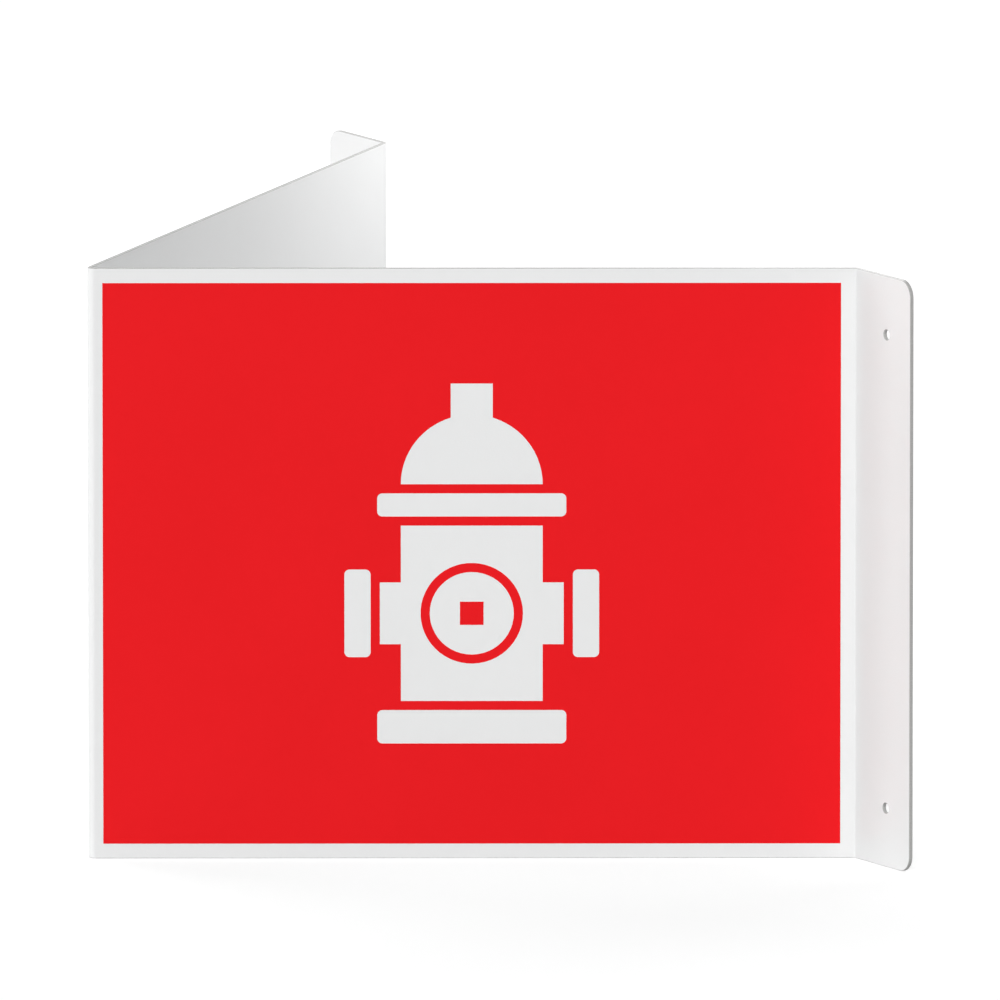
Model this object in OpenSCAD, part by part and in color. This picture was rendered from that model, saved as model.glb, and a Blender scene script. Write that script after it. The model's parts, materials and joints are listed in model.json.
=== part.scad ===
// Projecting hydrant sign for a wall: one plastic sheet, folded to a V seen from both sides.
// The wall is the plane y = 0 and the nose of the V points towards -Y.
// The origin is the middle of the four screw holes, halfway up the sign.

/* [Faces] */
// Width of each printed face, from the sharp of the nose fold to the sharp of its wall fold
face_w = 293.4; // [240:0.1:400]
// Height of the sheet
face_h = 228.6; // [180:0.1:400]
// Distance along the wall between the sharps of the two wall folds
wall_span = 325.1; // [240:0.1:420]

/* [Sheet] */
// Thickness of the sheet
sheet_t = 1.6; // [1:0.1:3]
// Radius on the inside of every fold
bend_r = 1; // [0.5:0.1:3]

/* [Flanges] */
// Width of each wall flange, from the sharp of the wall fold to its free edge
flange_w = 36.6; // [30:0.1:60]
// Radius of each flange's two free corners
corner_r = 6.4; // [1:0.1:9]
// Diameter of the screw holes
hole_d = 4; // [3:0.1:6]
// Distance from a screw hole's centre to the flange's free edge
hole_from_edge = 15.9; // [9:0.1:20]
// Distance from a screw hole's centre to the top or bottom of the sheet
hole_from_end = 22.7; // [12:0.1:40]

/* [Print] */
// Thickness of the printed film
film_t = 0.1; // [0.08:0.01:0.3]
// White margin on the flat beside the nose fold
nose_margin = 3; // [2:0.1:20]
// White margin on the flat beside the wall fold
wall_margin = 5.1; // [2:0.1:20]
// White margin at the top and bottom of a face
end_margin = 5.7; // [2:0.1:20]

/* [Hydrant symbol] */
// Width of the red lines that part the symbol's shapes
line_w = 3.5; // [1:0.1:5]
// Width of the hydrant's barrel
barrel_w = 54; // [48:1:64]
// Height of the hydrant's barrel
barrel_h = 68; // [56:1:76]
// How far the foot and the collar stand out past the barrel
collar_over = 9; // [4:1:14]
// Height of the foot
foot_h = 13; // [6:1:16]
// Height of the collar under the bonnet
collar_h = 9; // [6:1:12]
// Width of the nut on the bonnet
nut_w = 16; // [8:1:20]
// Height of the nut above the bonnet
nut_h = 12; // [5:1:15]
// Height of each side outlet's neck
neck_h = 24; // [12:1:28]
// Length of each side outlet's neck
neck_l = 8; // [4:1:12]
// Height of each side outlet's cap
cap_h = 34; // [24:1:40]
// Thickness of each side outlet's cap
cap_l = 10; // [6:1:14]
// Diameter of the front outlet's cap
front_d = 32; // [24:1:36]
// Width across the front outlet cap's square nut
front_nut_w = 9; // [5:1:12]
// Radius on the corners of the foot, the collar and the side caps
symbol_r = 2; // [0.5:0.1:2.4]

/* [Hidden] */
$fn = 96;
// How far a cutting shape runs past what it cuts
past = 1;

// Half the angle between the faces at the nose, and how far each fold turns the sheet
half_nose = asin(wall_span / 2 / face_w);
wall_turn = 90 - half_nose;
outer_r = bend_r + sheet_t;
// How far each fold's curve starts before its sharp
nose_setback = outer_r * tan(wall_turn);
wall_setback = bend_r * tan(wall_turn / 2);
// Length of the flat between the nose fold and a wall fold
face_flat = face_w - nose_setback - wall_setback;
// Free edge of a flange, and its screw holes, from the middle of the sign
edge_x = wall_span / 2 + flange_w;
hole_x = edge_x - hole_from_edge;
hole_z = face_h / 2 - hole_from_end;
// Centre of the nose fold's curve
nose_centre_y = outer_r / sin(half_nose) - face_w * cos(half_nose) - sheet_t;

// Printed field on the flat of a face
print_w = face_flat - nose_margin - wall_margin;
print_h = face_h - 2 * end_margin;
bonnet_r = barrel_w / 2;
symbol_h = foot_h + barrel_h + collar_h + bonnet_r + nut_h + 3 * line_w;
outlet_z = foot_h + line_w + barrel_h / 2;

// Walks from the nose's centre to the start of the right face: x along the face, y into the V
module at_right_face() {
    translate([0, nose_centre_y])
        rotate(wall_turn)
            translate([0, -outer_r])
                children();
}

// Walks on from the end of a face, round its wall fold's centre, to the start of its flange
module at_flange() {
    translate([face_flat, -bend_r])
        rotate(-wall_turn)
            translate([0, bend_r])
                children();
}

// A rectangle with rounded corners, centred on the origin
module round_rect(width, height, radius) {
    for (x = [-1, 1], y = [-1, 1])
        translate([x * (width / 2 - radius), y * (height / 2 - radius)]) circle(r = radius);
    square([width - 2 * radius, height], center = true);
    square([width, height - 2 * radius], center = true);
}

// Ring from which a fold's curve is cut
module bend_ring() {
    difference() {
        circle(r = outer_r);
        circle(r = bend_r);
    }
}

// Square that clears a fold's ring past the line x = 0: side 1 is ahead, -1 is behind
module beyond(side) {
    size = 3 * (outer_r + past);
    translate([side * size / 2, 0]) square(size, center = true);
}

// Curve of the nose fold, between the starts of the two faces
module nose_curve() {
    difference() {
        translate([0, nose_centre_y]) bend_ring();
        at_right_face() beyond(1);
        mirror([1, 0]) at_right_face() beyond(1);
    }
}

// Curve of a wall fold, between the end of the face and the start of the flange
module wall_curve() {
    difference() {
        translate([face_flat, -bend_r]) bend_ring();
        translate([face_flat, 0]) beyond(-1);
        at_flange() beyond(1);
    }
}

// The right half of the sheet seen from above, its flange left long
module right_profile() {
    at_right_face() {
        square([face_flat, sheet_t]);
        wall_curve();
        at_flange() square([flange_w + past, sheet_t]);
    }
}

// The whole sheet seen from above
module top_profile() {
    nose_curve();
    right_profile();
    mirror([1, 0]) right_profile();
}

// The whole sheet seen from the front: square at the folds, round at the flanges' free corners
module front_outline() {
    difference() {
        round_rect(2 * edge_x, face_h, corner_r);
        for (x = [-hole_x, hole_x], z = [-hole_z, hole_z])
            translate([x, z]) circle(d = hole_d);
    }
}

module folded_sheet() {
    color("white")
        intersection() {
            linear_extrude(face_h + 2 * past, center = true) top_profile();
            translate([0, past, 0])
                rotate([90, 0, 0])
                    linear_extrude(face_w + 2 * past) front_outline();
        }
}

// Foot of the hydrant
module symbol_foot() {
    translate([0, foot_h / 2]) round_rect(barrel_w + 2 * collar_over, foot_h, symbol_r);
}

// Barrel, with a round line and a square nut left in the film for the front outlet
module symbol_barrel() {
    difference() {
        translate([-barrel_w / 2, foot_h + line_w]) square([barrel_w, barrel_h]);
        translate([0, outlet_z])
            difference() {
                circle(d = front_d + 2 * line_w);
                circle(d = front_d);
            }
        translate([0, outlet_z]) square(front_nut_w, center = true);
    }
}

// Collar, bonnet and nut, one above the other
module symbol_top() {
    translate([0, foot_h + barrel_h + 2 * line_w]) {
        translate([0, collar_h / 2]) round_rect(barrel_w + 2 * collar_over, collar_h, symbol_r);
        translate([0, collar_h + line_w]) {
            intersection() {
                circle(r = bonnet_r);
                translate([-bonnet_r, 0]) square([2 * bonnet_r, bonnet_r]);
            }
            translate([-nut_w / 2, bonnet_r / 2]) square([nut_w, bonnet_r / 2 + nut_h]);
        }
    }
}

// Neck and cap of one side outlet, to the right of the barrel
module symbol_outlet() {
    translate([barrel_w / 2 - past, outlet_z - neck_h / 2]) square([neck_l + past, neck_h]);
    translate([barrel_w / 2 + neck_l + line_w + cap_l / 2, outlet_z])
        round_rect(cap_l, cap_h, symbol_r);
}

// The whole symbol, centred on the origin
module hydrant_symbol() {
    translate([0, -symbol_h / 2]) {
        symbol_foot();
        symbol_barrel();
        symbol_top();
        symbol_outlet();
        mirror([1, 0]) symbol_outlet();
    }
}

// Red field with the symbol left bare, on the outside of the right face
module print_film() {
    at_right_face()
        translate([nose_margin + print_w / 2, 0, 0])
            rotate([90, 0, 0])
                linear_extrude(film_t)
                    difference() {
                        square([print_w, print_h], center = true);
                        hydrant_symbol();
                    }
}

module right_face_print() {
    color([0.93, 0.12, 0.15]) print_film();
}

module left_face_print() {
    color([0.93, 0.12, 0.15]) mirror([1, 0, 0]) print_film();
}

folded_sheet();
right_face_print();
left_face_print();
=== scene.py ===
from functools import partial
import json
import math

import bmesh
import bpy
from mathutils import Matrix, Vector


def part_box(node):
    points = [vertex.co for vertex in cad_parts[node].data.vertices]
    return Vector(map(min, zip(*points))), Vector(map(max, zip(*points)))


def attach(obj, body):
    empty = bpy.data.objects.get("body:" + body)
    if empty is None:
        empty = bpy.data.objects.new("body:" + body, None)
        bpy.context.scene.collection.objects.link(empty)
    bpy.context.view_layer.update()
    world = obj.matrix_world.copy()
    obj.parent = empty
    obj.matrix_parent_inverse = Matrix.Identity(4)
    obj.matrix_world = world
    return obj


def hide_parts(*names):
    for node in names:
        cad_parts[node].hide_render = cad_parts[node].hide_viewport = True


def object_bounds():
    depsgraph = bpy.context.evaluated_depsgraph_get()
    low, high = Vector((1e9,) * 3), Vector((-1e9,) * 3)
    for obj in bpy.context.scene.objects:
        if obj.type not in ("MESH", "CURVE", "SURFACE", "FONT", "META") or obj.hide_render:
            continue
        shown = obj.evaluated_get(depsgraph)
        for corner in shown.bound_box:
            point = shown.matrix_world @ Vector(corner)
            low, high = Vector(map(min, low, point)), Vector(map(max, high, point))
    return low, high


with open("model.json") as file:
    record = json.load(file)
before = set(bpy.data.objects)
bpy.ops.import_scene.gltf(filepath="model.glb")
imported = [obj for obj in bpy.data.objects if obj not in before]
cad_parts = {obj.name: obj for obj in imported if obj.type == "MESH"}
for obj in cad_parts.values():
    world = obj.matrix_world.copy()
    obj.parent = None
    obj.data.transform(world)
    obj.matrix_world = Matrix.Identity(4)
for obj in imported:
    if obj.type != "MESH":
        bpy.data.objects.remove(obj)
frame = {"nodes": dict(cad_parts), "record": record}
cad_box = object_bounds()

# Looks of a projecting hydrant sign: a folded sheet of white plastic with a red film on each face.
# Everything is in metres, in the part's own frame: the wall is y = 0 and the nose points towards -Y.

# Camera: a long lens, square on to the right face and a little above it
CAMERA_AZIMUTH = math.radians(56.2)
CAMERA_ELEVATION = math.radians(10.71)
CAMERA_TARGET = Vector((0.02803, -0.07436, 0.01107))
VIEW_WIDTH = 0.3824
LENS_MM = 1400
SENSOR_MM = 36
CLIP_END = 100

# Sheet, with the sizes of the part's source
FACE_W = 0.2934
SHEET_T = 0.0016
BEND_R = 0.001
FLANGE_W = 0.0366
CORNER_R = 0.0064

# Rounding on the rims of cut edges, and how finely rims, corners and holes are divided
RIM_R = 0.0002
RIM_STEPS = 3
CORNER_STEPS = 20
HOLE_STEPS = 56

# Cuts across each fold and each face, and in the stretch beside each fold where its duller line fades
NOSE_CUTS = 20
WALL_CUTS = 12
FACE_CUTS = 12
FOLD_REACH = 0.004
REACH_CUTS = 4
CUT_TOLERANCE = 1e-7

# Material slot of the sheet's cut edges, after the one of its flat sides
CUT_SLOT = 1

# Weight of the Weighted Normal modifier at which the largest faces set the shading
LARGEST_FACES = 100

# Colours, as linear values
SHEET_WHITE = (0.865, 0.868, 0.868)
SHEET_SHADE = (0.845, 0.849, 0.850)
# Cut edges: grey, partly their own cut tone and partly painted shade that darkens them like a shadow
# line
CUT_EDGE_GREY_WITH_PAINTED_SHADE = (0.58, 0.58, 0.57)
CUT_EDGE_MARK_GREY_WITH_PAINTED_SHADE = (0.47, 0.47, 0.46)
FILM_RED = (0.855, 0.0018, 0.0065)
FILM_SHADE = (0.835, 0.0014, 0.0055)

# Gloss of the plastic and of the film, and how much rougher the plastic is in a fold
PLASTIC_GLOSS = 0.3
FILM_GLOSS = 0.2
FOLD_DULLNESS = 0.1

# The range that noise mostly stays in
NOISE_LOW = 0.3
NOISE_HIGH = 0.7

# Sockets of a Mix node that mixes colours
MIX_SHARE = 0
MIX_FIRST = 6
MIX_SECOND = 7
MIX_RESULT = 2

# Floor: a hair below the sheet, so that no two surfaces share a plane. Its lift is the light that it
# adds of its own where it is seen as background.
FLOOR_SIZE = 60
FLOOR_GAP = 0.0001
FLOOR_COLOUR = (0.55, 0.55, 0.55)
FLOOR_LIFT = 0.65

# Sky: its strength as light on the object, and as background
SKY_COLOUR = (1, 1, 1)
SKY_LIGHT = 0.08
SKY_SEEN = 1.0

# Lamps
LAMP_TARGET = Vector((0, 0, 0))
WIDE_LAMP_ANGLE = 40
WIDE_LAMP_DISTANCE = 5
STRIP_DISTANCE = 3
STRIP_WIDTH = 0.2
STRIP_HEIGHT = 0.3
BALL_PLACE = Vector((-0.05, 0.125, 0.185))
BALL_REACH = 0.25


def direction(azimuth, elevation):
    """Unit vector towards a place seen from the object: azimuth 0 is -Y and 90 degrees is +X."""
    return Vector((
        math.sin(azimuth) * math.cos(elevation),
        -math.cos(azimuth) * math.cos(elevation),
        math.sin(elevation),
    ))


def aim(thing, place, target):
    """Stands a camera or lamp at place and turns it to look at target."""
    thing.location = place
    thing.rotation_mode = "QUATERNION"
    thing.rotation_quaternion = (target - place).to_track_quat("-Z", "Y")
    bpy.context.scene.collection.objects.link(thing)


def make_camera():
    """The scene's camera, where its frame is VIEW_WIDTH wide at the target."""
    data = bpy.data.cameras.new("camera")
    data.sensor_width = SENSOR_MM
    data.lens = LENS_MM
    data.clip_end = CLIP_END
    camera = bpy.data.objects.new("camera", data)
    distance = VIEW_WIDTH * LENS_MM / SENSOR_MM
    place = CAMERA_TARGET + direction(CAMERA_AZIMUTH, CAMERA_ELEVATION) * distance
    aim(camera, place, CAMERA_TARGET)
    bpy.context.scene.camera = camera


make_camera()

# Sizes that follow from the frame, the record's screw holes and the values above
sheet_low, sheet_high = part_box("folded_sheet")
screws = next(m["dims"] for m in frame["record"]["mounts"] if m["name"] == "wall_screws")
hole_r = screws["hole_r_mm"] / 1000
hole_x = screws["spacing_x_mm"] / 2000
hole_z = screws["spacing_y_mm"] / 2000

edge_x = sheet_high.x
half_height = sheet_high.z
outer_r = BEND_R + SHEET_T
half_nose = math.asin((edge_x - FLANGE_W) / FACE_W)
wall_turn = math.pi / 2 - half_nose
nose_setback = outer_r * math.tan(wall_turn)
wall_setback = BEND_R * math.tan(wall_turn / 2)
face_flat = FACE_W - nose_setback - wall_setback
nose_centre = Vector((0, sheet_low.y + outer_r))

# Distances along the developed sheet, at half its thickness, from the nose to each change of curve
nose_end = (outer_r - SHEET_T / 2) * wall_turn
face_end = nose_end + face_flat
fold_end = face_end + (BEND_R + SHEET_T / 2) * wall_turn
sheet_end = fold_end + FLANGE_W - wall_setback
hole_run = sheet_end - (edge_x - hole_x)


def turned(vector, angle):
    """A plan vector turned anticlockwise."""
    c = math.cos(angle)
    s = math.sin(angle)
    return Vector((c * vector.x - s * vector.y, s * vector.x + c * vector.y))


def in_plan(run, depth):
    """Place of the point at distance run along the developed sheet, depth below its printed side."""
    along = abs(run)
    if along < nose_end:
        place = nose_centre + turned(Vector((0, depth - outer_r)), wall_turn * along / nose_end)
    else:
        along_face = turned(Vector((1, 0)), wall_turn)
        into_face = turned(Vector((0, 1)), wall_turn)
        start = nose_centre - into_face * outer_r
        if along < face_end:
            place = start + along_face * (along - nose_end) + into_face * depth
        else:
            fold_centre = start + along_face * face_flat - into_face * BEND_R
            turn = wall_turn * (1 - min(1, (along - face_end) / (fold_end - face_end)))
            place = fold_centre + turned(Vector((0, BEND_R + depth)), turn)
            place.x += max(0, along - fold_end)
    return Vector((math.copysign(place.x, run), place.y))


def outline(inset):
    """Outline of the developed sheet, its four corners rounded, moved inwards by inset."""
    points = []
    for side_u, side_v, start in ((1, 1, 0), (-1, 1, 90), (-1, -1, 180), (1, -1, 270)):
        for step in range(CORNER_STEPS + 1):
            turn = math.radians(start + 90 * step / CORNER_STEPS)
            points.append((
                side_u * (sheet_end - CORNER_R) + (CORNER_R - inset) * math.cos(turn),
                side_v * (half_height - CORNER_R) + (CORNER_R - inset) * math.sin(turn),
            ))
    return points


def hole_outline(run, height, inset):
    """Outline of one screw hole, which widens where the outline moves inwards."""
    points = []
    for step in range(HOLE_STEPS):
        turn = math.tau * step / HOLE_STEPS
        points.append((
            run + (hole_r + inset) * math.cos(turn),
            height + (hole_r + inset) * math.sin(turn),
        ))
    return points


def rim_profile():
    """Inset and depth of each step down a cut edge, whose two rims are rounded."""
    rim = []
    for step in range(RIM_STEPS + 1):
        turn = math.pi / 2 * step / RIM_STEPS
        rim.append((RIM_R * (1 - math.sin(turn)), RIM_R * (1 - math.cos(turn))))
    return rim + [(inset, SHEET_T - depth) for inset, depth in reversed(rim)]


def add_cut_edge(bm, outline_at):
    """Walls of one outline, down the whole thickness. Returns its first and last ring of edges."""
    rings = []
    for inset, depth in rim_profile():
        rings.append([bm.verts.new((u, v, depth)) for u, v in outline_at(inset)])
    count = len(rings[0])
    for upper, lower in zip(rings, rings[1:]):
        for i in range(count):
            j = (i + 1) % count
            face = bm.faces.new((upper[i], upper[j], lower[j], lower[i]))
            face.material_index = CUT_SLOT
    ends = []
    for ring in (rings[0], rings[-1]):
        ends.append([bm.edges.get((ring[i], ring[(i + 1) % count])) for i in range(count)])
    return ends


def fold_stations():
    """Distances along the developed sheet where the mesh is cut, so that it can bend there."""
    nose_cuts = NOSE_CUTS // 2
    right = [nose_end * (i + 0.5) / nose_cuts for i in range(nose_cuts)]
    right += [face_end + (fold_end - face_end) * i / WALL_CUTS for i in range(WALL_CUTS + 1)]
    right += [nose_end + face_flat * i / FACE_CUTS for i in range(FACE_CUTS)]
    for i in range(1, REACH_CUTS + 1):
        reach = FOLD_REACH * i / REACH_CUTS
        right += [nose_end + reach, face_end - reach, fold_end + reach]
    return [0] + right + [-run for run in right]


def fold_weight(run):
    """1 in a fold, and smoothly down to 0 at FOLD_REACH beside it."""
    along = abs(run)
    away = min(max(0, along - nose_end), max(0, face_end - along, along - fold_end))
    share = max(0, 1 - away / FOLD_REACH)
    return share * share * (3 - 2 * share)


def cut_flat(bm):
    """The flat sheet: x runs along it, y is the height, and z the depth below its printed side."""
    top_edges = []
    back_edges = []
    outlines = [outline]
    for run in (-hole_run, hole_run):
        for height in (-hole_z, hole_z):
            outlines.append(partial(hole_outline, run, height))
    for outline_at in outlines:
        top, back = add_cut_edge(bm, outline_at)
        top_edges += top
        back_edges += back
    for edges in (top_edges, back_edges):
        bmesh.ops.triangle_fill(bm, edges=edges, use_beauty=True, normal=(0, 0, 1))
    for run in fold_stations():
        everything = bm.verts[:] + bm.edges[:] + bm.faces[:]
        cut = {"plane_co": (run, 0, 0), "plane_no": (1, 0, 0), "dist": CUT_TOLERANCE}
        bmesh.ops.bisect_plane(bm, geom=everything, **cut)
    bmesh.ops.recalc_face_normals(bm, faces=bm.faces)


def fold_up(bm):
    """Folds the flat sheet into its place. Its folds and runs stay on as values for the materials."""
    fold_layer = bm.verts.layers.float.new("fold")
    run_layer = bm.verts.layers.float.new("edge_run")
    for vert in bm.verts:
        run, height, depth = vert.co
        vert[fold_layer] = fold_weight(run)
        vert[run_layer] = run + height
        place = in_plan(run, depth)
        vert.co = (place.x, place.y, height)
    bmesh.ops.recalc_face_normals(bm, faces=bm.faces)


def make_sheet():
    """The white sheet: cut flat with rounded rims, corners and holes, then folded into its place."""
    bm = bmesh.new()
    cut_flat(bm)
    fold_up(bm)
    mesh = bpy.data.meshes.new("white_sheet")
    bm.to_mesh(mesh)
    bm.free()
    mesh.shade_smooth()
    mesh.materials.append(white_plastic())
    mesh.materials.append(cut_plastic())
    sheet = bpy.data.objects.new("white_sheet", mesh)
    bpy.context.scene.collection.objects.link(sheet)
    normals = sheet.modifiers.new("flat_faces_stay_flat", "WEIGHTED_NORMAL")
    normals.weight = LARGEST_FACES
    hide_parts("folded_sheet")
    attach(sheet, "root")


def start_material(name):
    """A new node material, its node tree and its Principled shader."""
    material = bpy.data.materials.new(name)
    material.use_nodes = True
    return material, material.node_tree, material.node_tree.nodes["Principled BSDF"]


def add(tree, kind, inputs, **settings):
    """A new node: inputs hold values, or sockets to link from."""
    node = tree.nodes.new(kind)
    for name, value in settings.items():
        setattr(node, name, value)
    for name, value in inputs.items():
        if isinstance(value, bpy.types.NodeSocket):
            tree.links.new(value, node.inputs[name])
        else:
            node.inputs[name].default_value = value
    return node


def place_on_object(tree):
    """The point's place on the object."""
    return add(tree, "ShaderNodeTexCoord", {}).outputs["Object"]


def noise(tree, place, scale, detail):
    """Smooth noise with that many grains to a metre."""
    inputs = {"Vector": place, "Scale": scale, "Detail": detail}
    return add(tree, "ShaderNodeTexNoise", inputs).outputs["Fac"]


def reckon(tree, operation, *values):
    """The result of a Math node on values or sockets."""
    return add(tree, "ShaderNodeMath", dict(enumerate(values)), operation=operation).outputs[0]


def spread(tree, value, low=0, high=1):
    """Noise spread out between two values."""
    limits = {"From Min": NOISE_LOW, "From Max": NOISE_HIGH, "To Min": low, "To Max": high}
    return add(tree, "ShaderNodeMapRange", {"Value": value, **limits}).outputs["Result"]


def blend(tree, share, first, second):
    """The first colour, or the second where share is 1."""
    node = add(tree, "ShaderNodeMix", {}, data_type="RGBA")
    tree.links.new(share, node.inputs[MIX_SHARE])
    for index, colour in ((MIX_FIRST, first), (MIX_SECOND, second)):
        if isinstance(colour, bpy.types.NodeSocket):
            tree.links.new(colour, node.inputs[index])
        else:
            node.inputs[index].default_value = (*colour, 1)
    return node.outputs[MIX_RESULT]


def bump(tree, height, distance, strength, normal=None):
    """Relief of that depth, on top of other relief."""
    inputs = {"Height": height, "Distance": distance, "Strength": strength}
    if normal:
        inputs["Normal"] = normal
    return add(tree, "ShaderNodeBump", inputs).outputs["Normal"]


def white_plastic():
    """Satin white sheet: faint mottling, a moulded skin, and a duller line along each heated fold."""
    material, tree, shader = start_material("white_plastic")
    place = place_on_object(tree)
    fold = add(tree, "ShaderNodeAttribute", {}, attribute_name="fold").outputs["Fac"]
    mottle = spread(tree, noise(tree, place, scale=14, detail=4))
    flat = blend(tree, mottle, SHEET_WHITE, SHEET_SHADE)
    tree.links.new(blend(tree, fold, flat, SHEET_SHADE), shader.inputs["Base Color"])
    skin = spread(tree, noise(tree, place, scale=60, detail=3), low=0.33, high=0.41)
    dull = reckon(tree, "MULTIPLY_ADD", fold, FOLD_DULLNESS, skin)
    tree.links.new(dull, shader.inputs["Roughness"])
    wave = bump(tree, noise(tree, place, scale=9, detail=1), distance=0.0004, strength=0.5)
    peel = noise(tree, place, scale=1800, detail=2)
    relief = bump(tree, peel, distance=0.00004, strength=0.85, normal=wave)
    tree.links.new(relief, shader.inputs["Normal"])
    shader.inputs["Specular IOR Level"].default_value = PLASTIC_GLOSS
    return material


def cut_plastic():
    """Cut edge of the sheet: matt and grey, partly its own cut tone and partly painted shade that
    darkens the rims like a shadow line, with fine marks across the thickness.
    """
    material, tree, shader = start_material("cut_plastic")
    run = add(tree, "ShaderNodeAttribute", {}, attribute_name="edge_run").outputs["Fac"]
    place = add(tree, "ShaderNodeCombineXYZ", {"X": run}).outputs["Vector"]
    marks = spread(tree, noise(tree, place, scale=2600, detail=3))
    # Painted shade: the cut edges are darkened to read as a shadow line along the rims, with the cut
    # marks on top
    tree.links.new(blend(tree, marks, CUT_EDGE_GREY_WITH_PAINTED_SHADE, CUT_EDGE_MARK_GREY_WITH_PAINTED_SHADE), shader.inputs["Base Color"])
    tree.links.new(spread(tree, marks, low=0.5, high=0.65), shader.inputs["Roughness"])
    tree.links.new(bump(tree, marks, distance=0.00002, strength=0.4), shader.inputs["Normal"])
    shader.inputs["Specular IOR Level"].default_value = PLASTIC_GLOSS
    return material


def red_film():
    """Printed red film: even colour, a satin skin with a fine grain."""
    material, tree, shader = start_material("red_film")
    place = place_on_object(tree)
    mottle = spread(tree, noise(tree, place, scale=18, detail=4))
    tree.links.new(blend(tree, mottle, FILM_RED, FILM_SHADE), shader.inputs["Base Color"])
    skin = spread(tree, noise(tree, place, scale=90, detail=3), low=0.52, high=0.57)
    tree.links.new(skin, shader.inputs["Roughness"])
    wave = bump(tree, noise(tree, place, scale=9, detail=1), distance=0.0004, strength=0.3)
    grain = noise(tree, place, scale=2200, detail=2)
    relief = bump(tree, grain, distance=0.00003, strength=0.85, normal=wave)
    tree.links.new(relief, shader.inputs["Normal"])
    shader.inputs["Specular IOR Level"].default_value = FILM_GLOSS
    return material


def background_seen(tree):
    """1 for a ray that shows the background: from the camera, or through a reflection or glass."""
    path = add(tree, "ShaderNodeLightPath", {}).outputs
    seen = path["Is Camera Ray"]
    for other in (path["Is Glossy Ray"], path["Is Transmission Ray"]):
        seen = reckon(tree, "MAXIMUM", seen, other)
    return seen


def make_floor():
    """Plain pale floor under the object, which looks white and keeps the object's shadow."""
    half = FLOOR_SIZE / 2
    height = cad_box[0].z - FLOOR_GAP
    mesh = bpy.data.meshes.new("floor")
    corners = [(half * x, half * y, height) for x, y in ((-1, -1), (1, -1), (1, 1), (-1, 1))]
    mesh.from_pydata(corners, [], [(0, 1, 2, 3)])
    material, tree, shader = start_material("pale_floor")
    tree.nodes.remove(shader)
    matt = add(tree, "ShaderNodeBsdfDiffuse", {"Color": (*FLOOR_COLOUR, 1)}).outputs[0]
    lift = reckon(tree, "MULTIPLY", background_seen(tree), FLOOR_LIFT)
    glow = add(tree, "ShaderNodeEmission", {"Strength": lift}).outputs[0]
    both = add(tree, "ShaderNodeAddShader", {0: matt, 1: glow}).outputs[0]
    tree.links.new(both, tree.nodes["Material Output"].inputs["Surface"])
    mesh.materials.append(material)
    floor = bpy.data.objects.new("floor", mesh)
    bpy.context.scene.collection.objects.link(floor)


def make_sky():
    """White all round to the camera and in reflections, and a softer light on the object."""
    world = bpy.data.worlds.new("sky")
    world.use_nodes = True
    tree = world.node_tree
    limits = {"To Min": SKY_LIGHT, "To Max": SKY_SEEN}
    strength = add(tree, "ShaderNodeMapRange", {"Value": background_seen(tree), **limits})
    background = tree.nodes["Background"]
    background.inputs["Color"].default_value = (*SKY_COLOUR, 1)
    tree.links.new(strength.outputs["Result"], background.inputs["Strength"])
    bpy.context.scene.world = world


def make_lamp(name, kind, place, target, watts):
    """A lamp that the camera can't see, at place and turned to target."""
    data = bpy.data.lights.new(name, kind)
    data.energy = watts
    lamp = bpy.data.objects.new(name, data)
    lamp.visible_camera = False
    aim(lamp, place, target)
    return data


def make_wide_lamp(name, azimuth, elevation, light):
    """Large far lamp. Light is the share of full light that it gives a surface facing it."""
    place = direction(math.radians(azimuth), math.radians(elevation)) * WIDE_LAMP_DISTANCE
    lamp = make_lamp(name, "SUN", place, LAMP_TARGET, light * math.pi)
    lamp.angle = math.radians(WIDE_LAMP_ANGLE)


def make_strip_lamp(name, azimuth, elevation, light):
    """Upright lamp aimed at the right flange's free edge. Light is the share of full light there."""
    target = Vector((edge_x, 0, 0))
    place = target + direction(math.radians(azimuth), math.radians(elevation)) * STRIP_DISTANCE
    watts = light * (math.pi * STRIP_DISTANCE) ** 2
    lamp = make_lamp(name, "AREA", place, target, watts)
    lamp.shape = "RECTANGLE"
    lamp.size = STRIP_WIDTH
    lamp.size_y = STRIP_HEIGHT


def make_ball_lamp(name, place, radius, light):
    """Soft ball that shines all round. Light is the share of full light at BALL_REACH from it."""
    watts = light * (2 * math.pi * BALL_REACH) ** 2
    lamp = make_lamp(name, "POINT", place, LAMP_TARGET, watts)
    lamp.shadow_soft_size = radius


def make_lamps():
    """Wide lamps in front, at the left and behind, a strip by the right flange, a ball behind the V."""
    make_wide_lamp("front_lamp", azimuth=38, elevation=28, light=0.82)
    make_wide_lamp("left_lamp", azimuth=-84, elevation=31, light=0.34)
    make_wide_lamp("back_lamp", azimuth=-147, elevation=22, light=0.27)
    make_strip_lamp("strip_lamp", azimuth=-35.7, elevation=1.5, light=0.19)
    make_ball_lamp("ball_lamp", BALL_PLACE, radius=0.07, light=0.48)


def finish_prints():
    """Red film on both prints, which shows in gloss but throws no other red on the white."""
    film = red_film()
    for name in ("right_face_print", "left_face_print"):
        node = frame["nodes"][name]
        node.material_slots[0].material = film
        node.visible_diffuse = False


make_sheet()
finish_prints()
make_floor()
make_sky()
make_lamps()
bpy.context.scene.view_settings.view_transform = "Standard"
